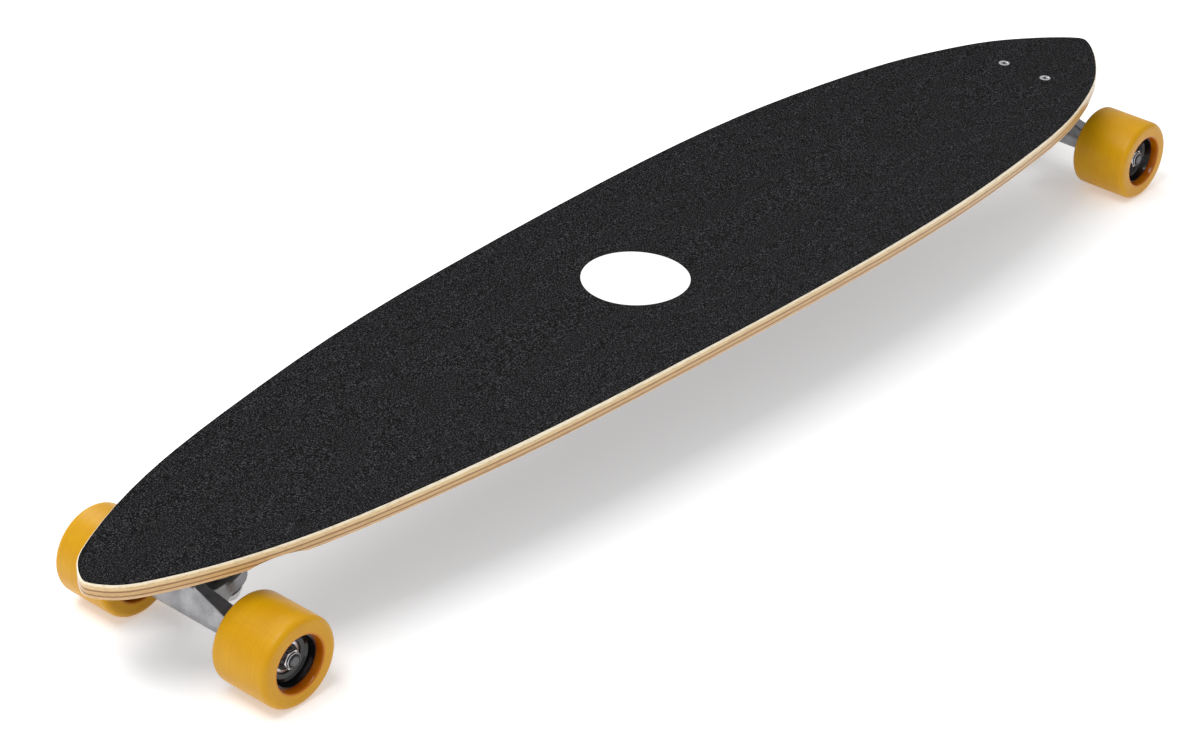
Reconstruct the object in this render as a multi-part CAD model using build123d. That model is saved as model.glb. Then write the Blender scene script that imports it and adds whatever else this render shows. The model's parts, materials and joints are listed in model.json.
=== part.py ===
from build123d import *
import os
from math import cos, radians, sin

# Pintail longboard: a laminated deck on two cast trucks with four urethane wheels.
# Millimetres. +X is the nose, +Y the left side, +Z up. The origin is on the ground, under the
# middle of the deck. Every truck piece is modelled in the truck's own frame: origin on the
# axle's middle, +X outwards to the nearer end of the deck, +Z up. The rear truck is the front
# one turned half a turn about Z.

# ---- deck ----
DECK_LENGTH = 1116.4
DECK_WIDTH = 225.1
DECK_THICKNESS = 11.0
CONCAVE_RADIUS = 1023.0         # the deck is dished across its whole width
CAMBER_RISE = 2.4               # how far the middle stands above the truck platforms
CAMBER_SHOULDER = 300.0         # part of the way out from the middle of the camber
SHOULDER_RISE = 1.45            # and what is left of the rise there
WIDEST_X = 124.0                # the outline is widest a little ahead of the middle
GRIP_THICKNESS = 0.9
GRIP_MARGIN = 0.8               # bare wood round the grip tape
DISC_RADIUS = 40.5
DISC_X = -24.9
DISC_GAP = 0.1
WELL_DEPTH = 3.8                # wheel wells, at the edge of the deck
WELL_LENGTH = 47.0
WELL_SHIFT = 18.0               # their middle, inboard of the axle
WELL_REACH = 24.0               # how far in from the edge they fade out
FRONT_WELL_EDGE = 62.0          # half of the deck's width at the wells
REAR_WELL_EDGE = 60.0

# ---- stance ----
FRONT_BOLTS_X = 497.7
REAR_BOLTS_X = -457.8
WHEEL_RADIUS = 33.0
BASE_TO_AXLE = 51.15            # deck underside down to the axle

# ---- truck: places are (outwards, up) from the axle ----
BOLT_SPACING_X = 53.98
BOLT_SPACING_Y = 41.28
BOLTS_INBOARD = 10.4            # the bolt pattern's centre, inboard of the axle
PLATE_LENGTH = 78.0
PLATE_WIDTH = 54.0
PLATE_THICKNESS = 6.0
PLATE_CORNER = 9.0
RING_CENTRE = (-27.0, 10.5)
PIVOT_CENTRE = (21.0, 39.0)
KINGPIN_TILT = 18.0             # from upright, its top leaning outwards
KINGPIN_RADIUS = 4.76
HEX_FLATS = 14.3                # kingpin head and nut
HEAD_HEIGHT = 5.5
NUT_HEIGHT = 6.5
BOSS_RADIUS = 11.5
HEAD_UNDER_DECK = 8.8           # from the deck down to where the kingpin's head sits
RING_RADIUS = 16.0
RING_HALF = 5.0
RING_HOLE = 8.0
SEAT_DEPTH = 2.0                # bushing seats in the ring
BUSHING_RADIUS = 10.8
TOP_BUSHING = 13.0              # height above the ring's rim
BOTTOM_BUSHING = 8.0
BOTTOM_BUSHING_TIP = 8.8
WASHER_THICKNESS = 1.5
TOP_WASHER_RADIUS = 12.5
BOTTOM_WASHER_RADIUS = 10.0
PIVOT_RADIUS = 6.5
PIVOT_NECK = 7.5
CUP_RADIUS = 9.5
CUP_DEPTH = 9.0                 # from its mouth to the pivot's centre
CUP_END = 7.5                   # from the pivot's centre to its closed end
CUP_WALL = 3.0                  # of metal round the cup
HANGER_WIDTH = 126.0
HOUSING_RADIUS = 9.25
WING_BAND = (-1.8, 5.5)         # the flat top of the hanger's wings
WING_ROOT = (8.5, 20.4)         # (sideways, up) where they meet the neck
WING_TIP = (58.0, 5.4)
YOKE_HALF = 13.5
NECK_HALF = 8.5

# ---- axle and bearings ----
AXLE_RADIUS = 3.97
AXLE_THREAD_SHOWING = 1.0       # past the axle nut
SPEED_WASHER = 1.0
BEARING_WIDTH = 7.0
BEARING_RADIUS = 11.0
RACE_WALL = 1.7                 # thickness of the outer race
INNER_RACE_WALL = 2.1
SPACER_LENGTH = 10.0
AXLE_NUT_FLATS = 12.7
AXLE_NUT_HEX = 4.6
AXLE_NUT_COLLAR = 1.6
COLLAR_RADIUS = 5.9
BALL_RADIUS = 1.85
BALL_COUNT = 7
SHIELD_THICKNESS = 0.4
SHIELD_INSET = 0.5

# ---- wheel ----
WHEEL_WIDTH = 50.0
LIP_RADIUS = 4.75
MOUTH_RADIUS = 21.0
CORE_RADIUS = 19.4
CORE_HALF = 19.2
CORE_RIB_RADIUS = 21.8
CORE_RIB_HALF = 7.0
CORE_FLOOR_RIM = 1.4            # flat rim of the core round the bearing
CORE_STOP = 2.0                 # the step inside that the bearings sit against

# ---- mounting bolts ----
BOLT_RADIUS = 2.4
BOLT_HEAD_RADIUS = 4.5
BOLT_HEAD_DEPTH = 2.8
BOLT_END = 1.5                  # thread past the nut
BOLT_NUT_FLATS = 9.5
BOLT_NUT_HEIGHT = 5.5
CROSS_LENGTH = 4.4
CROSS_WIDTH = 1.2
CROSS_DEPTH = 1.6

# ---- clearances ----
SNUG = 0.02                     # pieces pressed or clamped together
THREAD = 0.04
RUNNING = 0.1                   # pivot in its cup, bearing balls and shields
HOLE = 0.2                      # bolt holes

# ---- worked out ----
AXLE_Z = WHEEL_RADIUS
DECK_UNDERSIDE = AXLE_Z + BASE_TO_AXLE
DECK_TOP = DECK_UNDERSIDE + DECK_THICKNESS
GRIP_TOP = DECK_TOP + GRIP_THICKNESS
FRONT_AXLE_X = FRONT_BOLTS_X + BOLTS_INBOARD
REAR_AXLE_X = REAR_BOLTS_X - BOLTS_INBOARD
HALF_LENGTH = DECK_LENGTH / 2
HALF_WIDTH = DECK_WIDTH / 2
BOLT_TOP = GRIP_TOP + (BOLT_SPACING_Y / 2) ** 2 / (2 * CONCAVE_RADIUS)

PIVOT_RUN = PIVOT_CENTRE[0] - RING_CENTRE[0]
PIVOT_CLIMB = PIVOT_CENTRE[1] - RING_CENTRE[1]
KINGPIN = Plane((RING_CENTRE[0], 0, RING_CENTRE[1]), (0, 1, 0),
                (sin(radians(KINGPIN_TILT)), 0, cos(radians(KINGPIN_TILT))))
STEER = Plane((PIVOT_CENTRE[0], 0, PIVOT_CENTRE[1]), (0, 1, 0), (PIVOT_RUN, 0, PIVOT_CLIMB))
AXLE = Plane((0, 0, 0), (1, 0, 0), (0, 1, 0))

TOP_WASHER_AT = RING_HALF + TOP_BUSHING
BOSS_SEAT = TOP_WASHER_AT + WASHER_THICKNESS
HEAD_AT = (BASE_TO_AXLE - HEAD_UNDER_DECK - RING_CENTRE[1]) / cos(radians(KINGPIN_TILT))
BOTTOM_WASHER_AT = -RING_HALF - BOTTOM_BUSHING - WASHER_THICKNESS
NUT_AT = BOTTOM_WASHER_AT - NUT_HEIGHT
KINGPIN_END = NUT_AT - BOLT_END

INNER_WASHER_AT = HANGER_WIDTH / 2
INNER_BEARING_AT = INNER_WASHER_AT + SPEED_WASHER
SPACER_AT = INNER_BEARING_AT + BEARING_WIDTH
OUTER_BEARING_AT = SPACER_AT + SPACER_LENGTH
OUTER_WASHER_AT = OUTER_BEARING_AT + BEARING_WIDTH
AXLE_NUT_AT = OUTER_WASHER_AT + SPEED_WASHER
WHEEL_AT = SPACER_AT + SPACER_LENGTH / 2
AXLE_LENGTH = 2 * (AXLE_NUT_AT + AXLE_NUT_HEX + AXLE_NUT_COLLAR + AXLE_THREAD_SHOWING)
RACE_INNER = AXLE_RADIUS + INNER_RACE_WALL      # outside of a bearing's inner race
RACE_OUTER = BEARING_RADIUS - RACE_WALL         # inside of its outer race
BALL_PITCH = (RACE_INNER + RACE_OUTER) / 2


# ---- shared shapes ----
def rod(plane, radius, start, end):
    """A round bar along the plane's normal, from start to end."""
    bar = Cylinder(radius, end - start, align=(Align.CENTER, Align.CENTER, Align.MIN))
    return plane * Pos(0, 0, start) * bar


def taper(plane, start_radius, end_radius, start, end):
    """A round bar that changes radius along the plane's normal."""
    bar = Cone(start_radius, end_radius, end - start, align=(Align.CENTER, Align.CENTER, Align.MIN))
    return plane * Pos(0, 0, start) * bar


def hexagon(plane, flats, start, end):
    """A hexagonal bar along the plane's normal, its corners slightly rounded off."""
    corner = flats / 2 / cos(radians(30))
    bar = extrude(RegularPolygon(corner, 6), end - start)
    return plane * Pos(0, 0, start) * bar & rod(plane, corner * 0.97, start, end)


def ring(plane, outer, inner, start, end):
    return rod(plane, outer, start, end) - rod(plane, inner, start, end)


def side_slab(points, half):
    """A slab cut to an outline in the truck's side view, (outwards, up), and half wide each way."""
    outline = make_face(Polyline(*[(u, 0, w) for u, w in points], close=True))
    return extrude(outline, half, dir=(0, 1, 0), both=True)


# ---- deck ----
OUTLINE_POINTS = [
    (-HALF_LENGTH, 0),
    (-HALF_LENGTH + 8.5, 16.4),
    (-HALF_LENGTH + 28, 30.8),
    (-HALF_LENGTH + 78, 52.6),
    (-HALF_LENGTH + 218, HALF_WIDTH * 0.753),
    (-240, HALF_WIDTH * 0.87),
    (-100, HALF_WIDTH * 0.954),
    (WIDEST_X, HALF_WIDTH),
    (WIDEST_X + 116, HALF_WIDTH * 0.96),
    (HALF_LENGTH - 218, HALF_WIDTH * 0.86),
    (HALF_LENGTH - 138, HALF_WIDTH * 0.725),
    (HALF_LENGTH - 98, HALF_WIDTH * 0.611),
    (HALF_LENGTH - 58, 51.3),
    (HALF_LENGTH - 28, 31),
    (HALF_LENGTH - 12.7, 17.8),
    (HALF_LENGTH, 0),
]


def outline_side(points):
    return Spline(*points, tangents=[(0, 1), (0, -1)], tangent_scalars=[0.6, 0.6])


def deck_outline(inset=0.0):
    """The plan outline, a pintail with a narrow tail and a blunter nose, or one inside it."""
    side = outline_side(OUTLINE_POINTS)
    if inset:
        moved = []
        for point in OUTLINE_POINTS:
            along = side.tangent_at(side.param_at_point(Vector(*point)))
            moved.append(Vector(*point) + Vector(along.Y, -along.X) * inset)
        side = outline_side(moved)
    return make_face([side, mirror(side, Plane.XZ)])


def deck_path():
    """Level at the truck platforms, with a slow rise between them."""
    middle = (FRONT_BOLTS_X + REAR_BOLTS_X) / 2
    reach = FRONT_BOLTS_X - middle - BOLT_SPACING_X / 2 - 15
    start = (middle - reach, 0, 0)
    end = (middle + reach, 0, 0)
    tail_side = (middle - CAMBER_SHOULDER, 0, SHOULDER_RISE)
    nose_side = (middle + CAMBER_SHOULDER, 0, SHOULDER_RISE)
    crown = (middle, 0, CAMBER_RISE)
    rise = Spline(start, tail_side, crown, nose_side, end, tangents=[(1, 0, 0), (1, 0, 0)])
    tail = Line((-HALF_LENGTH - 5, 0, 0), start)
    nose = Line(end, (HALF_LENGTH + 5, 0, 0))
    return Wire([tail, rise, nose])


def dished_slab(x, bottom, top):
    """The deck's cross-section at x, curved up towards both edges, between two heights."""
    half = HALF_WIDTH + 5
    lift = half ** 2 / (2 * CONCAVE_RADIUS)
    lines = []
    for height in (bottom, top):
        lines.append(Bezier((x, -half, height + lift), (x, 0, height - lift), (x, half, height + lift)))
    lines.append(Line(lines[0] @ 0, lines[1] @ 0))
    lines.append(Line(lines[0] @ 1, lines[1] @ 1))
    return make_face(lines)


def deck_layer(bottom, top):
    """A sheet that follows the deck's camber and its dished width, between two heights."""
    return sweep(dished_slab(-HALF_LENGTH - 5, bottom, top), path=deck_path())


def column(outline):
    return extrude(outline, GRIP_TOP + 20)


def bolt_places(bolts_x):
    spots = []
    for along in (-1, 1):
        for across in (-1, 1):
            spots.append((bolts_x + along * BOLT_SPACING_X / 2, across * BOLT_SPACING_Y / 2))
    return spots


ALL_BOLTS = bolt_places(FRONT_BOLTS_X) + bolt_places(REAR_BOLTS_X)


def bolt_hole(x, y):
    """A through hole with a countersink that takes the head flush with the grip tape."""
    spot = Plane((x, y, BOLT_TOP))
    hole = rod(spot, BOLT_RADIUS + HOLE, -40, 1)
    hole += taper(spot, BOLT_RADIUS + HOLE, BOLT_HEAD_RADIUS + HOLE, -BOLT_HEAD_DEPTH - HOLE, 0)
    return hole + rod(spot, BOLT_HEAD_RADIUS + HOLE, 0, 1)


def wheel_wells():
    """Shallow scoops under the edges, for the wheels to lean into."""
    radius = (WELL_LENGTH / 2) ** 2 / (2 * WELL_DEPTH)
    wells = []
    for axle_x, inboard, half_here in ((FRONT_AXLE_X, -1, FRONT_WELL_EDGE), (REAR_AXLE_X, 1, REAR_WELL_EDGE)):
        for way in (-1, 1):
            x = axle_x + inboard * WELL_SHIFT
            y = way * (half_here - WELL_REACH)
            slope = (0, way * WELL_REACH, WELL_DEPTH)
            fade = Plane((x, y, DECK_UNDERSIDE - radius), (1, 0, 0), slope)
            wells.append(rod(fade, radius, -20, 90))
    return wells


def make_deck():
    deck = deck_layer(DECK_UNDERSIDE, DECK_TOP) & column(deck_outline())
    for x, y in ALL_BOLTS:
        deck -= bolt_hole(x, y)
    return deck - wheel_wells()


def grip_sheet():
    return deck_layer(DECK_TOP, GRIP_TOP)


def make_griptape(sheet):
    tape = (sheet & column(deck_outline(GRIP_MARGIN))) - disc_column(DISC_RADIUS + DISC_GAP)
    for x, y in ALL_BOLTS:
        tape -= rod(Plane((x, y, DECK_TOP - 1)), BOLT_HEAD_RADIUS + HOLE, 0, GRIP_THICKNESS + 2)
    return tape


def disc_column(radius):
    return rod(Plane((DISC_X, 0, 0)), radius, 0, GRIP_TOP + 20)


def make_disc(sheet):
    return sheet & disc_column(DISC_RADIUS)


# ---- truck pieces fixed to the deck ----
def make_baseplate():
    deck_side = extrude(dished_slab(-200, BASE_TO_AXLE, BASE_TO_AXLE + 100), 400, dir=(1, 0, 0))
    plate = extrude(RectangleRounded(PLATE_LENGTH, PLATE_WIDTH, PLATE_CORNER), PLATE_THICKNESS + 1)
    plate = Pos(-BOLTS_INBOARD, 0, BASE_TO_AXLE - PLATE_THICKNESS) * plate
    plate = chamfer(plate.faces().sort_by(Axis.Z)[0].outer_wire().edges(), 1.5)
    boss = taper(KINGPIN, BOSS_RADIUS, BOSS_RADIUS + 6, BOSS_SEAT, HEAD_AT + 12)
    socket_radius = CUP_RADIUS + CUP_WALL
    socket = rod(STEER, socket_radius, -CUP_DEPTH + 1, CUP_END + 1)
    rib_top = BASE_TO_AXLE - 1
    rib = side_slab([(-13, rib_top), (PIVOT_CENTRE[0], rib_top), (PIVOT_CENTRE[0], 36), (12, 39), (-8, 39)], 4)
    body = plate + boss + socket + rib - deck_side
    body -= rod(KINGPIN, KINGPIN_RADIUS + HOLE, 0, HEAD_AT + 20)
    body -= rod(KINGPIN, HEX_FLATS / 2 / cos(radians(30)) + HOLE, HEAD_AT, HEAD_AT + 30)
    body -= rod(STEER, CUP_RADIUS + SNUG, -CUP_DEPTH - 10, CUP_END + SNUG)
    for x, y in bolt_places(-BOLTS_INBOARD):
        body -= rod(Plane((x, y, 0)), BOLT_RADIUS + HOLE, 0, 100)
    return body


def make_kingpin():
    return rod(KINGPIN, KINGPIN_RADIUS, KINGPIN_END, HEAD_AT) + hexagon(
        KINGPIN, HEX_FLATS, HEAD_AT, HEAD_AT + HEAD_HEIGHT)


def make_kingpin_nut():
    collar = rod(KINGPIN, HEX_FLATS / 2 - 0.8, NUT_AT, NUT_AT + 2)
    nut = hexagon(KINGPIN, HEX_FLATS, NUT_AT + 2, BOTTOM_WASHER_AT) + collar
    return nut - rod(KINGPIN, KINGPIN_RADIUS + THREAD, NUT_AT - 1, BOTTOM_WASHER_AT + 1)


def make_top_washer():
    return ring(KINGPIN, TOP_WASHER_RADIUS, KINGPIN_RADIUS + HOLE, TOP_WASHER_AT, BOSS_SEAT)


def make_bottom_washer():
    end = BOTTOM_WASHER_AT + WASHER_THICKNESS
    return ring(KINGPIN, BOTTOM_WASHER_RADIUS, KINGPIN_RADIUS + HOLE, BOTTOM_WASHER_AT, end)


def make_top_bushing():
    start = RING_HALF - SEAT_DEPTH
    body = rod(KINGPIN, BUSHING_RADIUS, start, TOP_WASHER_AT)
    body = chamfer(body.faces().sort_by(Axis.Z)[-1].edges(), 1.2)
    return body - rod(KINGPIN, KINGPIN_RADIUS + HOLE, start - 1, TOP_WASHER_AT + 1)


def make_bottom_bushing():
    start = BOTTOM_WASHER_AT + WASHER_THICKNESS
    body = taper(KINGPIN, BOTTOM_BUSHING_TIP, BUSHING_RADIUS, start, -RING_HALF)
    body += rod(KINGPIN, BUSHING_RADIUS, -RING_HALF, -RING_HALF + SEAT_DEPTH)
    return body - rod(KINGPIN, KINGPIN_RADIUS + HOLE, start - 1, 0)


def make_pivot_cup():
    cup = rod(STEER, CUP_RADIUS, -CUP_DEPTH, CUP_END)
    cup -= rod(STEER, PIVOT_RADIUS + RUNNING, -CUP_DEPTH - 1, 0)
    return cup - STEER * Sphere(PIVOT_RADIUS + RUNNING)


def make_bolt(x, y):
    spot = Plane((x, y, BOLT_TOP))
    length = BOLT_TOP - DECK_UNDERSIDE + PLATE_THICKNESS + BOLT_NUT_HEIGHT + BOLT_END
    bolt = rod(spot, BOLT_RADIUS, -length, -BOLT_HEAD_DEPTH)
    bolt += taper(spot, BOLT_RADIUS, BOLT_HEAD_RADIUS, -BOLT_HEAD_DEPTH, 0)
    for turn in (20, 110):
        slot = Box(CROSS_LENGTH, CROSS_WIDTH, CROSS_DEPTH, align=(Align.CENTER, Align.CENTER, Align.MAX))
        bolt -= spot * Rot(0, 0, turn) * slot
    return bolt - taper(spot, 0, CROSS_WIDTH, -CROSS_DEPTH, 0)


def make_bolt_nut(x, y):
    spot = Plane((x, y, DECK_UNDERSIDE - PLATE_THICKNESS))
    nut = hexagon(spot, BOLT_NUT_FLATS, -BOLT_NUT_HEIGHT, 0)
    return nut - rod(spot, BOLT_RADIUS + THREAD, -BOLT_NUT_HEIGHT - 1, 1)


# ---- hanger and what turns with it ----
def wing_block():
    """The two wings, triangular from the front, over the axle housing."""
    low = -3.0
    front = [(-WING_TIP[0], low), (-WING_TIP[0], WING_TIP[1]), (-WING_ROOT[0], WING_ROOT[1]),
             WING_ROOT, WING_TIP, (WING_TIP[0], low)]
    outline = make_face(Polyline(*[(0, y, z) for y, z in front], close=True))
    sheet = extrude(outline, HOUSING_RADIUS, dir=(1, 0, 0), both=True)
    band_in, band_out = WING_BAND
    top = WING_ROOT[1]
    side = [(-HOUSING_RADIUS, low), (HOUSING_RADIUS, low), (HOUSING_RADIUS - 0.3, 2), (band_out, top),
            (band_in, top), (-HOUSING_RADIUS + 0.3, 2)]
    return sheet & side_slab(side, WING_TIP[0])


def neck_block():
    """The rib that carries the pivot, from the housing up to the cup."""
    points = [(11, 33), (3, 27), (-2.5, 18.5), (-9, 8), (-14, 1), (0, -6), (6.5, 2), (5.5, 18), (16, 28.5)]
    return side_slab(points, NECK_HALF)


def yoke_block():
    """The bridge from the housing to the bushing ring."""
    points = [(-23, 13.8), (-8.5, 12.7), (-2, 16.5), (3, 17), (5, 4), (0, -8), (-7, -7), (-17, -2), (-25, 3)]
    return side_slab(points, YOKE_HALF)


def make_hanger():
    housing = rod(AXLE, HOUSING_RADIUS, -HANGER_WIDTH / 2, HANGER_WIDTH / 2)
    bushing_ring = rod(KINGPIN, RING_RADIUS, -RING_HALF, RING_HALF)
    neck_start = -CUP_DEPTH - 8
    neck = taper(STEER, PIVOT_NECK + 0.5, PIVOT_RADIUS, neck_start, -CUP_DEPTH)
    pivot = rod(STEER, PIVOT_RADIUS, -CUP_DEPTH, 0) + STEER * Sphere(PIVOT_RADIUS)
    body = housing + wing_block() + neck_block() + yoke_block() + bushing_ring + neck + pivot
    body -= rod(KINGPIN, RING_HOLE, -RING_HALF - 1, RING_HALF + 1)
    body -= rod(KINGPIN, BUSHING_RADIUS + HOLE, RING_HALF - SEAT_DEPTH, BOSS_SEAT)
    body -= rod(KINGPIN, BUSHING_RADIUS + HOLE, -RING_HALF - 20, -RING_HALF + SEAT_DEPTH)
    return body - rod(AXLE, AXLE_RADIUS + SNUG, -HANGER_WIDTH, HANGER_WIDTH)


def make_axle():
    axle = rod(AXLE, AXLE_RADIUS, -AXLE_LENGTH / 2, AXLE_LENGTH / 2)
    return chamfer(axle.edges().filter_by(GeomType.CIRCLE), 0.6)


def both_sides(piece):
    return [piece, mirror(piece, Plane.XZ)]


def make_axle_nuts():
    collar_at = AXLE_NUT_AT + AXLE_NUT_HEX
    end = collar_at + AXLE_NUT_COLLAR
    nut = hexagon(AXLE, AXLE_NUT_FLATS, AXLE_NUT_AT, collar_at) + rod(AXLE, COLLAR_RADIUS, collar_at, end)
    return both_sides(nut - rod(AXLE, AXLE_RADIUS + THREAD, AXLE_NUT_AT - 1, end + 1))


def make_speed_washers():
    pieces = []
    for start in (INNER_WASHER_AT, OUTER_WASHER_AT):
        washer = ring(AXLE, RACE_INNER - 0.1, AXLE_RADIUS + THREAD, start, start + SPEED_WASHER)
        pieces += both_sides(washer)
    return pieces


def make_spacers():
    return both_sides(ring(AXLE, RACE_INNER - 0.6, AXLE_RADIUS + THREAD, SPACER_AT, OUTER_BEARING_AT))


def ball_track(at):
    """The groove that the balls run in, about the axle."""
    return AXLE * Pos(0, 0, at + BEARING_WIDTH / 2) * Torus(BALL_PITCH, BALL_RADIUS + RUNNING)


def make_inner_races():
    pieces = []
    for at in (INNER_BEARING_AT, OUTER_BEARING_AT):
        race = ring(AXLE, RACE_INNER, AXLE_RADIUS + THREAD, at, at + BEARING_WIDTH)
        pieces += both_sides(race - ball_track(at))
    return pieces


# ---- wheel pieces, modelled on the left end of the axle ----
def turned(points):
    """A ring turned about the axle from (radius, distance along it) points."""
    outline = make_face(Polyline(*[(0, along, radius) for radius, along in points], close=True))
    return revolve(outline, Axis.Y)


def make_tyre():
    half = WHEEL_WIDTH / 2
    points = [(WHEEL_RADIUS, WHEEL_AT - half), (WHEEL_RADIUS, WHEEL_AT + half)]
    inner = [(MOUTH_RADIUS, half), (CORE_RADIUS, CORE_HALF), (CORE_RADIUS, CORE_RIB_HALF + 1),
             (CORE_RIB_RADIUS, CORE_RIB_HALF)]
    points += [(radius, WHEEL_AT + along) for radius, along in inner]
    points += [(radius, WHEEL_AT - along) for radius, along in reversed(inner)]
    tyre = turned(points)
    rims = tyre.edges().filter_by(GeomType.CIRCLE).group_by(SortBy.RADIUS)[-1]
    return fillet(rims, LIP_RADIUS)


def make_core():
    seat = BEARING_RADIUS + SNUG
    floor = OUTER_WASHER_AT - WHEEL_AT + 0.2
    side = [(CORE_RIB_RADIUS, CORE_RIB_HALF), (CORE_RADIUS, CORE_RIB_HALF + 1), (CORE_RADIUS, CORE_HALF),
            (CORE_RADIUS - 1.0, CORE_HALF), (CORE_RADIUS - 2.6, floor + 2.4), (CORE_RADIUS - 4.0, floor + 0.8),
            (seat + CORE_FLOOR_RIM, floor), (seat, floor), (seat, SPACER_LENGTH / 2),
            (seat - CORE_STOP, SPACER_LENGTH / 2)]
    points = [(radius, WHEEL_AT + along) for radius, along in side]
    points += [(radius, WHEEL_AT - along) for radius, along in reversed(side)]
    return turned(points)


def make_outer_races():
    pieces = []
    for at in (INNER_BEARING_AT, OUTER_BEARING_AT):
        pieces.append(ring(AXLE, BEARING_RADIUS, RACE_OUTER, at, at + BEARING_WIDTH) - ball_track(at))
    return pieces


def make_shields():
    pieces = []
    for at in (INNER_BEARING_AT, OUTER_BEARING_AT):
        for start in (at + SHIELD_INSET, at + BEARING_WIDTH - SHIELD_INSET - SHIELD_THICKNESS):
            pieces.append(ring(AXLE, RACE_OUTER, RACE_INNER + RUNNING, start, start + SHIELD_THICKNESS))
    return pieces


def make_balls():
    balls = []
    for at in (INNER_BEARING_AT, OUTER_BEARING_AT):
        for number in range(BALL_COUNT):
            angle = 360 * number / BALL_COUNT
            middle = Pos(0, at + BEARING_WIDTH / 2, 0)
            balls.append(middle * Rot(0, angle, 0) * Pos(BALL_PITCH, 0, 0) * Sphere(BALL_RADIUS))
    return balls


# ---- writing ----
def as_list(made):
    return made if isinstance(made, list) else [made]


def save(name, made, where=Pos(0, 0, 0)):
    solids = []
    for piece in as_list(made):
        solids += [where * solid for solid in piece.solids()]
    shape = solids[0] if len(solids) == 1 else Compound(children=solids)
    export_step(shape, os.path.join("parts", name + ".step"))


FIXED_PIECES = {
    "baseplate": make_baseplate, "kingpin": make_kingpin, "kingpin_nut": make_kingpin_nut,
    "top_washer": make_top_washer, "bottom_washer": make_bottom_washer, "top_bushing": make_top_bushing,
    "bottom_bushing": make_bottom_bushing, "pivot_cup": make_pivot_cup,
}
TURNING_PIECES = {
    "hanger": make_hanger, "axle": make_axle, "axle_nuts": make_axle_nuts,
    "speed_washers": make_speed_washers, "bearing_spacers": make_spacers,
    "bearing_inner_races": make_inner_races,
}
WHEEL_PIECES = {
    "tyre": make_tyre, "core": make_core, "bearing_outer_races": make_outer_races,
    "bearing_shields": make_shields, "bearing_balls": make_balls,
}


def main():
    os.makedirs("parts", exist_ok=True)
    sheet = grip_sheet()
    save("deck", make_deck())
    save("griptape", make_griptape(sheet))
    save("centre_disc", make_disc(sheet))

    front = Pos(FRONT_AXLE_X, 0, AXLE_Z)
    rear = Pos(REAR_AXLE_X, 0, AXLE_Z) * Rot(0, 0, 180)
    for name, make in {**FIXED_PIECES, **TURNING_PIECES}.items():
        made = make()
        save("front_" + name, made, front)
        save("rear_" + name, made, rear)
    for name, make in WHEEL_PIECES.items():
        made = make()
        flip = Rot(0, 0, 180)
        save("front_left_" + name, made, front)
        save("front_right_" + name, made, front * flip)
        save("rear_right_" + name, made, rear)
        save("rear_left_" + name, made, rear * flip)

    front_spots = bolt_places(FRONT_BOLTS_X)
    rear_spots = bolt_places(REAR_BOLTS_X)
    save("front_inner_bolts", [make_bolt(x, y) for x, y in front_spots if x < FRONT_BOLTS_X])
    save("front_outer_bolts", [make_bolt(x, y) for x, y in front_spots if x > FRONT_BOLTS_X])
    save("rear_bolts", [make_bolt(x, y) for x, y in rear_spots])
    save("front_bolt_nuts", [make_bolt_nut(x, y) for x, y in front_spots])
    save("rear_bolt_nuts", [make_bolt_nut(x, y) for x, y in rear_spots])


main()
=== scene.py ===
import json
import math
import bpy
from mathutils import Matrix, Vector


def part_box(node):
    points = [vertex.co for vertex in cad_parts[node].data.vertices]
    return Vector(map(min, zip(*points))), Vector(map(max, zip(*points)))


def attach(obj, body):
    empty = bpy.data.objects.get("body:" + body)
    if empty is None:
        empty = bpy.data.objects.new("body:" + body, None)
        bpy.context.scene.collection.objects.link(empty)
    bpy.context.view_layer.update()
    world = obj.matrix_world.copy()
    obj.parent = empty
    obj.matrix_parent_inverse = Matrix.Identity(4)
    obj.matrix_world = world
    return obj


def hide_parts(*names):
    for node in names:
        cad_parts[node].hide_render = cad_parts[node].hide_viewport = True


# Pintail longboard: a laminated deck with grip tape, two cast trucks and four urethane wheels.
# Metres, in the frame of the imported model: +X is the nose, +Y the left side, +Z up.

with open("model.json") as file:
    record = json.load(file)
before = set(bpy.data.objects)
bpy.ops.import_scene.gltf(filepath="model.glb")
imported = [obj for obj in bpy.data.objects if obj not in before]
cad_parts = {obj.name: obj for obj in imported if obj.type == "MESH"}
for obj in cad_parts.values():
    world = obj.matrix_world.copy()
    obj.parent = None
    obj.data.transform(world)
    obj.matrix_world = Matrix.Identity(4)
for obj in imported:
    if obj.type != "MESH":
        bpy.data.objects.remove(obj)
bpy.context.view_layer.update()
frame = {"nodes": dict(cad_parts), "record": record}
NODES = frame["nodes"]
MM = 0.001

# ---- sizes shared with the frame ----
DECK_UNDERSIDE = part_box("deck")[0][2]
DECK_THICKNESS = 11.0 * MM
GRIP_THICKNESS = 0.9 * MM
CONCAVE_RADIUS = 1023.0 * MM        # the deck is dished across its whole width
CAMBER_RISE = 2.4 * MM
CAMBER_MIDDLE = 19.95 * MM
CAMBER_REACH = 435.8 * MM           # from the middle of the camber to where the deck is level
BOLT_HEAD_RADIUS = 4.5 * MM
WHEEL_RADIUS = 33.0 * MM
TRUCKS = ("front", "rear")
SIDES = ("left", "right")

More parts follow.
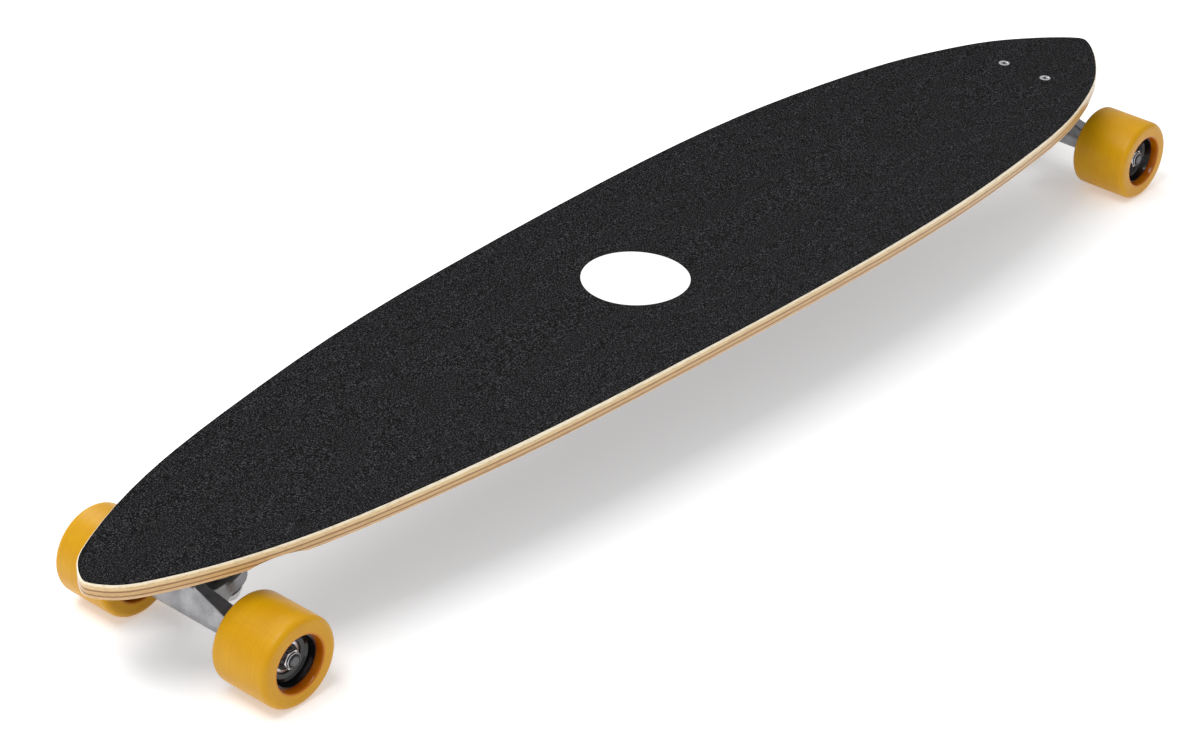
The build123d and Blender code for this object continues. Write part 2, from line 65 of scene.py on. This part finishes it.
# ---- sizes of the finishing work ----
SAME_POINT = 0.004 * MM             # vertices nearer than this are one
DECK_EDGE_ROUND = 1.1 * MM
TYRE_EDGE_ROUND = 0.9 * MM
NUT_EDGE_ROUND = 0.35 * MM
TYRE_MOUTH_RADIUS = 19.5 * MM       # the deepest part of the tyre's recess
TYRE_LIP_RADIUS = 31.5 * MM         # the ground tread starts outside this
TREAD_RADIUS = 32.8 * MM
SOCKET_RADIUS = 2.35 * MM           # of the cross socket in a deck bolt
SOCKET_DEPTH = 1.9 * MM
NYLON_RADIUS = 5.2 * MM             # of the nylon ring in an axle nut
CASTING_GRID = 0.7 * MM             # detail that a casting keeps
FLOOR_SIZE = 14.0
FLOOR_GLOW = 0.33                   # lit a little from below


def axle_point(end, side=None):
    """The middle of a truck's axle, or of one of its wheels."""
    low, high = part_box(f"{end}_axle")
    y = 0.0
    if side:
        wheel_low, wheel_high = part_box(f"{end}_{side}_tyre")
        y = (wheel_low[1] + wheel_high[1]) / 2
    return Vector(((low[0] + high[0]) / 2, y, (low[2] + high[2]) / 2))


# ---- small tools ----
def linear(hex_colour):
    """An sRGB hex colour as linear red, green, blue and alpha."""
    channels = []
    for start in (1, 3, 5):
        value = int(hex_colour[start:start + 2], 16) / 255
        channels.append(value / 12.92 if value <= 0.04045 else ((value + 0.055) / 1.055) ** 2.4)
    return (*channels, 1.0)


def add(tree, kind, values=None, links=None, **settings):
    """Adds a shader node: settings are its properties, values its own sockets, links what feeds them."""
    made = tree.nodes.new("ShaderNode" + kind)
    for name, value in settings.items():
        setattr(made, name, value)
    for socket, value in (values or {}).items():
        made.inputs[socket].default_value = value
    for socket, source in (links or {}).items():
        tree.links.new(source, made.inputs[socket])
    return made


def ramp(tree, source, stops, interpolation="LINEAR"):
    """A colour ramp from (place, hex colour) stops."""
    made = add(tree, "ValToRGB", links={"Fac": source})
    bands = made.color_ramp
    bands.interpolation = interpolation
    while len(bands.elements) < len(stops):
        bands.elements.new(0.5)
    for element, (place, colour) in zip(bands.elements, stops):
        element.position = place
        element.color = linear(colour)
    return made.outputs["Color"]


def new_material(name, **principled):
    """A material with its Principled shader set, and the pieces that its patterns start from."""
    material = bpy.data.materials.new(name)
    material.use_nodes = True
    tree = material.node_tree
    shader = tree.nodes["Principled BSDF"]
    for socket, value in principled.items():
        shader.inputs[socket.replace("_", " ")].default_value = value
    place = add(tree, "TexCoord").outputs["Object"]
    return material, tree, shader, place


def noise(tree, place, size_mm, detail=2.0, rough=0.5, stretch=(1, 1, 1)):
    """Noise whose blobs are about size_mm across, drawn out by stretch along X, Y and Z."""
    scale = tuple(1 / factor for factor in stretch)
    mapped = add(tree, "Mapping", {"Scale": scale}, {"Vector": place}).outputs["Vector"]
    values = {"Scale": 1 / (size_mm * MM), "Detail": detail, "Roughness": rough}
    return add(tree, "TexNoise", values, {"Vector": mapped}).outputs["Fac"]


def bump(tree, shader, height, depth_mm, strength=1.0):
    made = add(tree, "Bump", {"Strength": strength, "Distance": depth_mm * MM}, {"Height": height})
    tree.links.new(made.outputs["Normal"], shader.inputs["Normal"])


def tint(tree, factor, first, second):
    """Mixes two colours, each a hex colour or a node's output."""
    made = add(tree, "Mix", data_type="RGBA")
    tree.links.new(factor, made.inputs["Factor"])
    for socket, colour in (("A", first), ("B", second)):
        target = [s for s in made.inputs if s.name == socket and s.type == "RGBA"][0]
        if isinstance(colour, str):
            target.default_value = linear(colour)
        else:
            tree.links.new(colour, target)
    return [s for s in made.outputs if s.type == "RGBA"][0]


def spread(tree, source, low, high, to_low=0.0, to_high=1.0):
    values = {"From Min": low, "From Max": high, "To Min": to_low, "To Max": to_high}
    return add(tree, "MapRange", values, {"Value": source}).outputs["Result"]


# ---- materials ----
def grip_tape():
    """Silicon carbide grit on black film: dull, with single lighter grains painted in as glints."""
    material, tree, shader, place = new_material("grip_tape_grit", Roughness=0.9, Specular_IOR_Level=0.08)
    # the grains are drawn about 1 mm across, coarser than real grit, so that they show
    grain = noise(tree, place, 1.0, detail=1.0, rough=0.6)
    patch = noise(tree, place, 30, detail=2.0)
    # painted glints: the lightest stop of this ramp stands in for grains catching the light; the darker
    # stops are the grit's own tone
    grit_with_painted_glints = ramp(tree, grain, [(0.36, "#040404"), (0.48, "#0E0E0F"), (0.56, "#1C1C1E"), (0.66, "#454548")])
    colour = tint(tree, spread(tree, patch, 0.3, 0.7, 0.0, 0.1), grit_with_painted_glints, "#1A1A1B")
    tree.links.new(colour, shader.inputs["Base Color"])
    bump(tree, shader, grain, 0.25, 0.6)
    return material


def disc_vinyl():
    """White print on the grip tape: matt, with the grit faintly under it."""
    material, tree, shader, place = new_material("white_grip_print", Roughness=0.55)
    grain = noise(tree, place, 0.9, detail=2.0)
    colour = ramp(tree, grain, [(0.3, "#E9E9E8"), (0.7, "#F6F6F5")])
    tree.links.new(colour, shader.inputs["Base Color"])
    bump(tree, shader, grain, 0.12, 0.4)
    return material


def ply_edge():
    """Sanded and lacquered ply edge: pale and tan plies with thin dark glue lines, and a painted highlight
    along the rounded top edge.
    """
    material, tree, shader, place = new_material("laminated_maple_edge", Roughness=0.38, Coat_Weight=0.25,
                                                 Coat_Roughness=0.2)
    depth = add(tree, "Attribute", attribute_name="ply_depth").outputs["Fac"]
    wander = noise(tree, place, 16, detail=2.0, stretch=(1, 1, 0.2))
    offset = spread(tree, wander, 0.3, 0.7, -0.012, 0.012)
    moved = add(tree, "Math", {}, {0: depth, 1: offset}, operation="ADD").outputs["Value"]
    # painted highlight: the palest cream at the top of the ramp paints the shine on the rounded top edge;
    # the bands below are the plies and glue lines
    bands = ramp(tree, moved, [
        (0.00, "#F2E6CE"), (0.12, "#EBDAB8"), (0.18, "#D8BB88"), (0.38, "#D6B682"), (0.43, "#94693A"),
        (0.49, "#835A30"), (0.54, "#C7A068"), (0.70, "#C9A26A"), (0.75, "#8C6236"), (0.80, "#8A6036"),
        (0.85, "#CDA878"), (1.00, "#D2AE80")])
    fibre = noise(tree, place, 2.2, detail=4.0, rough=0.65, stretch=(4, 1, 0.5))
    colour = tint(tree, spread(tree, fibre, 0.50, 0.74, 0.0, 0.55), bands, "#8E6236")
    tree.links.new(colour, shader.inputs["Base Color"])
    bump(tree, shader, fibre, 0.06, 0.5)
    return material


def stained_face():
    """Dark-stained veneer under clear lacquer on the underside, with long soft grain lines."""
    material, tree, shader, place = new_material("dark_stained_veneer", Roughness=0.32, Coat_Weight=0.35,
                                                 Coat_Roughness=0.15)
    grain = noise(tree, place, 5, detail=5.0, rough=0.6, stretch=(26, 1, 1))
    pore = noise(tree, place, 0.9, detail=2.0, rough=0.6, stretch=(14, 1, 1))
    wood = ramp(tree, grain, [(0.25, "#4A3A2E"), (0.45, "#3F3128"), (0.60, "#352922"), (0.78, "#281F1A")])
    colour = tint(tree, spread(tree, pore, 0.60, 0.82, 0.0, 0.35), wood, "#1C1613")
    tree.links.new(colour, shader.inputs["Base Color"])
    bump(tree, shader, pore, 0.04, 0.4)
    return material


def amber_urethane():
    """Cast polyurethane, ground on the tread: waxy, with painted shade darkening it to orange-brown down in
    the hub's mouth.
    """
    material, tree, shader, place = new_material(
        "amber_urethane", Subsurface_Weight=0.05, Subsurface_Scale=0.003, Specular_IOR_Level=0.25)
    shader.inputs["Subsurface Radius"].default_value = (1.0, 0.45, 0.08)
    radius = add(tree, "Attribute", attribute_name="tyre_radius").outputs["Fac"]
    along = add(tree, "Attribute", attribute_name="tyre_along").outputs["Fac"]
    rings = add(tree, "CombineXYZ", links={"X": radius, "Y": along}).outputs["Vector"]
    cloud = noise(tree, place, 14, detail=3.0)
    lathe = noise(tree, rings, 1.3, detail=4.0, rough=0.7)
    # painted shade: near the hub's mouth the colour darkens to orange-brown, down in the recess; further out
    # it is the urethane's own amber
    depth = spread(tree, radius, TYRE_MOUTH_RADIUS, WHEEL_RADIUS)
    body = ramp(tree, depth, [(0.0, "#8A3A00"), (0.12, "#B05C00"), (0.25, "#C89000"), (0.8, "#C99300"),
                              (1.0, "#CB9600")])
    cloudy = tint(tree, spread(tree, cloud, 0.35, 0.75, 0.0, 0.35), body, "#BC8000")
    colour = tint(tree, spread(tree, lathe, 0.5, 0.8, 0.0, 0.3), cloudy, "#A87200")
    tree.links.new(colour, shader.inputs["Base Color"])
    polish = spread(tree, cloud, 0.3, 0.7, 0.08, 0.14)
    ground = spread(tree, radius, TYRE_LIP_RADIUS, TREAD_RADIUS, 0.0, 0.3)
    sheen = add(tree, "Math", {}, {0: polish, 1: ground}, operation="ADD")
    tree.links.new(sheen.outputs["Value"], shader.inputs["Roughness"])
    bump(tree, shader, lathe, 0.05, 0.5)
    return material


def black_nylon():
    """Injection-moulded glass-filled nylon: black and glossy."""
    material, tree, shader, place = new_material("black_moulded_nylon", Roughness=0.16, IOR=1.53)
    mottle = noise(tree, place, 4, detail=2.0)
    tree.links.new(ramp(tree, mottle, [(0.3, "#040405"), (0.7, "#08080A")]), shader.inputs["Base Color"])
    bump(tree, shader, mottle, 0.03, 0.3)
    return material


def cast_aluminium():
    """Gravity-cast aluminium, tumbled: bright satin metal with a slight orange-peel skin."""
    material, tree, shader, place = new_material("tumbled_cast_aluminium", Metallic=1.0, Roughness=0.42)
    skin = noise(tree, place, 1.4, detail=3.0, rough=0.6)
    patch = noise(tree, place, 12, detail=2.0)
    metal = ramp(tree, patch, [(0.3, "#88888B"), (0.7, "#A4A4A7")])
    colour = tint(tree, spread(tree, skin, 0.55, 0.85, 0.0, 0.5), metal, "#6A6A6E")
    tree.links.new(colour, shader.inputs["Base Color"])
    tree.links.new(spread(tree, skin, 0.3, 0.7, 0.36, 0.5), shader.inputs["Roughness"])
    bump(tree, shader, skin, 0.10, 0.5)
    return material


def zinc_plate(name, dark, light, roughness):
    """Plated steel fastener: smooth metal with faint handling marks."""
    material, tree, shader, place = new_material(name, Metallic=1.0, Roughness=roughness)
    mark = noise(tree, place, 1.1, detail=3.0, rough=0.6)
    tree.links.new(ramp(tree, mark, [(0.3, dark), (0.7, light)]), shader.inputs["Base Color"])
    sheen = spread(tree, mark, 0.3, 0.7, roughness * 0.75, roughness * 1.3)
    tree.links.new(sheen, shader.inputs["Roughness"])
    bump(tree, shader, mark, 0.02, 0.3)
    return material


def dull_rubber(name, dark, light, roughness):
    """Moulded rubber or urethane: soft sheen over a fine even grain."""
    material, tree, shader, place = new_material(name, Roughness=roughness)
    grain = noise(tree, place, 0.8, detail=2.0)
    tree.links.new(ramp(tree, grain, [(0.3, dark), (0.7, light)]), shader.inputs["Base Color"])
    bump(tree, shader, grain, 0.05, 0.4)
    return material


FINISHES = {
    "maple_ply": ply_edge(),
    "grip": grip_tape(),
    "white_vinyl": disc_vinyl(),
    "amber_urethane": amber_urethane(),
    "black_nylon": black_nylon(),
    "cast_aluminium": cast_aluminium(),
    "zinc": zinc_plate("zinc_plated_steel", "#C9CACC", "#E6E6E8", 0.24),
    "steel": zinc_plate("ground_bearing_steel", "#BDBDBF", "#DCDCDD", 0.18),
    "black_oxide": zinc_plate("black_oxide_steel", "#151516", "#202022", 0.5),
    "bushing_urethane": dull_rubber("grey_bushing_urethane", "#8A8986", "#9A9996", 0.4),
    "black_urethane": dull_rubber("black_cup_urethane", "#101011", "#18181A", 0.6),
    "axle_steel": zinc_plate("turned_axle_steel", "#4C4C4F", "#68686B", 0.35),
    # painted shade for the inside of the bolt sockets: near-black
    "socket_painted_shade": dull_rubber("shadowed_bolt_socket", "#020202", "#040404", 0.8),
    "black_rubber": dull_rubber("black_seal_rubber", "#0D0D0E", "#151516", 0.5),
}
STAINED_FACE = stained_face()


def give(piece, *materials):
    piece.data.materials.clear()
    for material in materials:
        piece.data.materials.append(material)


def finish_frame_nodes():
    """Every CAD node gets the finish of its slot."""
    for entry in frame["record"]["subparts"]:
        give(NODES[entry["node"]], FINISHES[entry["material_slot"]])


finish_frame_nodes()
for end in TRUCKS:
    give(NODES[f"{end}_axle"], FINISHES["axle_steel"])


# ---- modelling tools ----
def select_only(piece):
    bpy.ops.object.select_all(action="DESELECT")
    piece.select_set(True)
    bpy.context.view_layer.objects.active = piece


def copy_of(node, name):
    """A merged copy of a CAD node, in the same place, for shaping further."""
    made = NODES[node].copy()
    made.data = NODES[node].data.copy()
    made.name = name
    made.data.name = name
    bpy.context.collection.objects.link(made)
    for key in list(made.keys()):
        del made[key]
    made.parent = None
    made.matrix_world = NODES[node].matrix_world
    select_only(made)
    bpy.ops.object.mode_set(mode="EDIT")
    bpy.ops.mesh.select_all(action="SELECT")
    bpy.ops.mesh.remove_doubles(threshold=SAME_POINT)
    bpy.ops.object.mode_set(mode="OBJECT")
    return made


def modify(piece, kind, **settings):
    """Adds a modifier and applies it."""
    select_only(piece)
    made = piece.modifiers.new(kind.lower(), kind)
    for name, value in settings.items():
        setattr(made, name, value)
    bpy.ops.object.modifier_apply(modifier=made.name)


def ease_edges(piece, width, segments, degrees):
    """Rounds the edges that turn by more than so many degrees."""
    modify(piece, "BEVEL", width=width, segments=segments, limit_method="ANGLE",
           angle_limit=math.radians(degrees))


def smooth(piece, degrees):
    select_only(piece)
    bpy.ops.object.shade_smooth_by_angle(angle=math.radians(degrees))


# ---- deck ----
def deck_lift(x, y):
    """How far the deck's surface stands above its level middle, from the camber and the dish."""
    reach = min(abs(x - CAMBER_MIDDLE) / CAMBER_REACH, 1.0)
    camber = CAMBER_RISE * (1 - reach * reach * (3 - 2 * reach))
    return camber + y * y / (2 * CONCAVE_RADIUS)


def make_deck():
    deck = copy_of("deck", "deck_board")
    ease_edges(deck, DECK_EDGE_ROUND, 4, 50)
    depths = deck.data.attributes.new("ply_depth", "FLOAT", "POINT")
    top = DECK_UNDERSIDE + DECK_THICKNESS
    for vertex, value in zip(deck.data.vertices, depths.data):
        x, y, z = vertex.co
        value.value = (top + deck_lift(x, y) - z) / DECK_THICKNESS
    give(deck, FINISHES["maple_ply"], STAINED_FACE)
    for face in deck.data.polygons:
        if face.normal.z < -0.9:
            face.material_index = 1
    smooth(deck, 35)
    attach(deck, "board")
    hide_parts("deck")


make_deck()


# ---- wheels ----
def shift(piece, offset):
    select_only(piece)
    bpy.ops.object.mode_set(mode="EDIT")
    bpy.ops.mesh.select_all(action="SELECT")
    bpy.ops.transform.translate(value=offset)
    bpy.ops.object.mode_set(mode="OBJECT")


def make_tyres():
    """One tyre with its edges eased, and a copy with its own mesh for each of the other wheels."""
    first = axle_point("front", "left")
    master = copy_of("front_left_tyre", "front_left_tyre_cast")
    ease_edges(master, TYRE_EDGE_ROUND, 4, 35)
    radii = master.data.attributes.new("tyre_radius", "FLOAT", "POINT")
    alongs = master.data.attributes.new("tyre_along", "FLOAT", "POINT")
    for vertex, radius, along in zip(master.data.vertices, radii.data, alongs.data):
        x, y, z = vertex.co - first
        radius.value = math.hypot(x, z)
        along.value = y
    smooth(master, 40)
    for end in TRUCKS:
        for side in SIDES:
            tyre = master
            if (end, side) != ("front", "left"):
                tyre = master.copy()
                tyre.data = master.data.copy()
                tyre.name = f"{end}_{side}_tyre_cast"
                tyre.data.name = tyre.name
                bpy.context.collection.objects.link(tyre)
                shift(tyre, axle_point(end, side) - first)
            give(tyre, FINISHES["amber_urethane"])
            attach(tyre, f"{end}_{side}_wheel")
            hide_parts(f"{end}_{side}_tyre")


make_tyres()


# ---- deck bolts ----
def make_bolts(node, finish, centres):
    """Countersunk bolts, smooth-shaded, whose cross socket is painted near-black as shade."""
    bolts = copy_of(node, f"{node}_headed")
    give(bolts, FINISHES[finish], FINISHES["socket_painted_shade"])
    top = max(vertex.co.z for vertex in bolts.data.vertices)
    # painted shade: faces down inside the cross socket get the near-black second finish
    for face in bolts.data.polygons:
        x, y, z = face.center
        out = min(math.hypot(x - spot[0], y - spot[1]) for spot in centres)
        if out < SOCKET_RADIUS and top - SOCKET_DEPTH < z < top - 0.02 * MM:
            face.material_index = 1
    smooth(bolts, 30)
    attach(bolts, "board")
    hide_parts(node)


def bolt_centres(node):
    """Where a row of bolts stands, from the corners of its box."""
    low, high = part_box(node)
    margin = BOLT_HEAD_RADIUS
    return [(x, y) for x in (low[0] + margin, high[0] - margin) for y in (low[1] + margin, high[1] - margin)]


make_bolts("rear_bolts", "black_oxide", bolt_centres("rear_bolts"))
make_bolts("front_outer_bolts", "black_oxide", bolt_centres("front_outer_bolts"))
make_bolts("front_inner_bolts", "zinc", bolt_centres("front_inner_bolts"))


# ---- axle nuts ----
def make_axle_nuts(end):
    """Lock nuts with rounded corners: a dark nylon ring sits inside the rolled rim."""
    nuts = copy_of(f"{end}_axle_nuts", f"{end}_lock_nuts")
    ease_edges(nuts, NUT_EDGE_ROUND, 3, 35)
    give(nuts, FINISHES["zinc"], FINISHES["black_rubber"])
    middle = axle_point(end)
    outside = max(vertex.co.y for vertex in nuts.data.vertices)
    for face in nuts.data.polygons:
        x, y, z = face.center - middle
        at_end = abs(y) > outside - 0.2 * MM and abs(face.normal.y) > 0.9
        if at_end and math.hypot(x, z) < NYLON_RADIUS:
            face.material_index = 1
    smooth(nuts, 40)
    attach(nuts, f"{end}_truck")
    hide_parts(f"{end}_axle_nuts")


for end in TRUCKS:
    make_axle_nuts(end)


# ---- truck castings ----
def make_casting(node, body, rounds):
    """A casting with the soft edges and corners that a mould leaves."""
    piece = copy_of(node, f"{node}_casting")
    modify(piece, "REMESH", mode="VOXEL", voxel_size=CASTING_GRID)
    modify(piece, "SMOOTH", factor=0.5, iterations=rounds)
    smooth(piece, 60)
    give(piece, FINISHES["cast_aluminium"])
    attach(piece, body)
    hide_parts(node)


for end in TRUCKS:
    make_casting(f"{end}_hanger", f"{end}_truck", 5)
    make_casting(f"{end}_baseplate", "board", 4)


# ---- set: floor, lights, camera ----
def make_floor():
    bpy.ops.object.select_all(action="DESELECT")
    bpy.ops.mesh.primitive_plane_add(size=FLOOR_SIZE, location=(0, 0, 0))
    floor = bpy.context.object
    floor.name = "studio_floor"
    material, tree, shader, place = new_material("lit_white_floor", Roughness=0.7, Specular_IOR_Level=0.2)
    soft = noise(tree, place, 400, detail=1.0)
    tree.links.new(ramp(tree, soft, [(0.3, "#EDEDEE"), (0.7, "#F1F1F2")]), shader.inputs["Base Color"])
    shader.inputs["Emission Color"].default_value = linear("#FFFFFF")
    shader.inputs["Emission Strength"].default_value = FLOOR_GLOW
    give(floor, material)


def make_softbox(name, place, target, size, watts):
    data = bpy.data.lights.new(name, "AREA")
    data.shape = "RECTANGLE"
    data.size = size[0]
    data.size_y = size[1]
    data.energy = watts
    lamp = bpy.data.objects.new(name, data)
    bpy.context.collection.objects.link(lamp)
    lamp.location = place
    lamp.rotation_euler = (Vector(target) - Vector(place)).to_track_quat("-Z", "Y").to_euler()


def make_world(level):
    world = bpy.data.worlds.new("studio")
    world.use_nodes = True
    bpy.context.scene.world = world
    sky = world.node_tree.nodes["Background"]
    sky.inputs["Color"].default_value = (1.0, 1.0, 1.0, 1.0)
    sky.inputs["Strength"].default_value = level


CAMERA_PLACE = (-1.67411, -1.37967, 1.29122)
CAMERA_AZIMUTH = 40.564             # of its view, from +X towards +Y
CAMERA_DROP = 30.642                # below level
CAMERA_ROLL = 1.39
CAMERA_LENS = 100.43
CAMERA_SENSOR = 36.0


def make_camera():
    data = bpy.data.cameras.new("camera")
    data.sensor_width = CAMERA_SENSOR
    data.lens = CAMERA_LENS
    data.clip_end = 50
    camera = bpy.data.objects.new("camera", data)
    bpy.context.collection.objects.link(camera)
    azimuth = math.radians(CAMERA_AZIMUTH)
    drop = math.radians(CAMERA_DROP)
    level = Vector((math.cos(azimuth), math.sin(azimuth), 0))
    forward = level * math.cos(drop) - Vector((0, 0, math.sin(drop)))
    level_right = Vector((math.sin(azimuth), -math.cos(azimuth), 0))
    up = level_right.cross(forward)
    roll = math.radians(CAMERA_ROLL)
    right = level_right * math.cos(roll) + up * math.sin(roll)
    up = right.cross(forward)
    turn = Matrix((right, up, -forward)).transposed()
    camera.matrix_world = Matrix.Translation(CAMERA_PLACE) @ turn.to_4x4()
    bpy.context.scene.camera = camera


make_floor()
make_world(0.62)
make_softbox("key_softbox", (-1.3, 0.2, 2.8), (0, 0, 0), (1.9, 1.4), 54)
make_softbox("back_softbox", (0.6, 2.4, 2.4), (0, 0, 0), (1.6, 1.0), 30)
make_camera()
bpy.context.scene.view_settings.view_transform = "Standard"
